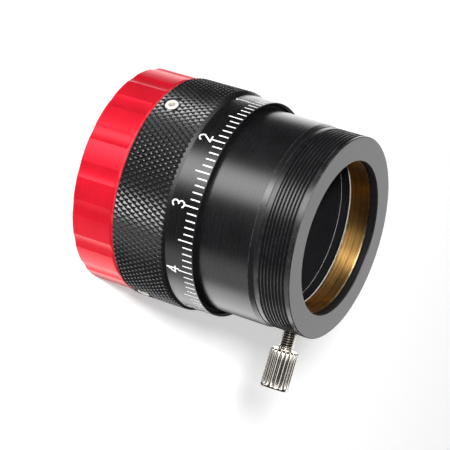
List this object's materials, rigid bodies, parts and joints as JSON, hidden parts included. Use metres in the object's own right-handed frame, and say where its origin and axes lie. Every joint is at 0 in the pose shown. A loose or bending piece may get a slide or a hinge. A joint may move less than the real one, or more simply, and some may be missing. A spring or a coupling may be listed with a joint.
{
  "type": "helical focuser",
  "caption": "Helical focuser for a telescope: a knurled, graduated sleeve turns to slide a keyed drawtube that grips an eyepiece barrel with a brass ring and thumbscrew.",
  "frame": {"origin": "centre of the telescope-side seating face, on the optical axis", "axes": "+Z along the optical axis towards the eyepiece, +X towards the thumbscrew"},
  "size_m": [0.0563, 0.0468, 0.0491],
  "materials": {
    "black_anodised": "satin black anodised",
    "red_anodised": "satin red anodised",
    "bare_aluminium": "turned, uncoated",
    "bright_brass": "turned and lightly tarnished",
    "nickel_plate": "bright nickel plate",
    "spring_steel": "ground",
    "slip_polymer": "smooth",
    "engraving_white": "paint filled into the engraved scale"
  },
  "bodies": {
    "base": {"mount_base": "black_anodised", "guide_sleeve": "black_anodised", "slot_stop_ring": "spring_steel", "grip_ring": "red_anodised", "rear_slip_washer": "slip_polymer", "wave_washer": "spring_steel", "front_slip_washer": "slip_polymer"},
    "focus_ring": {"helicoid_ring": "bare_aluminium", "focus_sleeve": "black_anodised", "sleeve_grub_screws": "nickel_plate"},
    "drawtube": {"drawtube": "black_anodised", "guide_pins": "spring_steel", "eyepiece_holder": "black_anodised", "compression_ring": "bright_brass"},
    "thumbscrew_point": {"thumbscrew_point": "nickel_plate"},
    "thumbscrew": {"thumbscrew_stud": "nickel_plate", "thumbscrew_head": "nickel_plate"}
  },
  "joints": [
    {"name": "focus_turn", "type": "hinge", "parent": "base", "child": "focus_ring", "pos_m": [0, 0, 0.0185], "axis": [0, 0, 1], "range_deg": [-18.1, 324.1]},
    {"name": "tube_travel", "type": "slide", "parent": "base", "child": "drawtube", "axis": [0, 0, 1], "range_m": [-0.009, 0.0005]},
    {"name": "thumbscrew_turn", "type": "hinge", "parent": "thumbscrew_point", "child": "thumbscrew", "pos_m": [0.0253, 0, 0.0442], "axis": [1, 0, 0], "range_deg": [-144.5, 2520.5]},
    {"name": "thumbscrew_travel", "type": "slide", "parent": "drawtube", "child": "thumbscrew_point", "axis": [1, 0, 0], "range_m": [-0.0002, 0.0035]}
  ],
  "couplings": [
    {"joint": "focus_turn", "follows": "tube_travel", "rad_per_m": -628.32},
    {"joint": "thumbscrew_turn", "follows": "thumbscrew_travel", "rad_per_m": 12566}
  ]
}
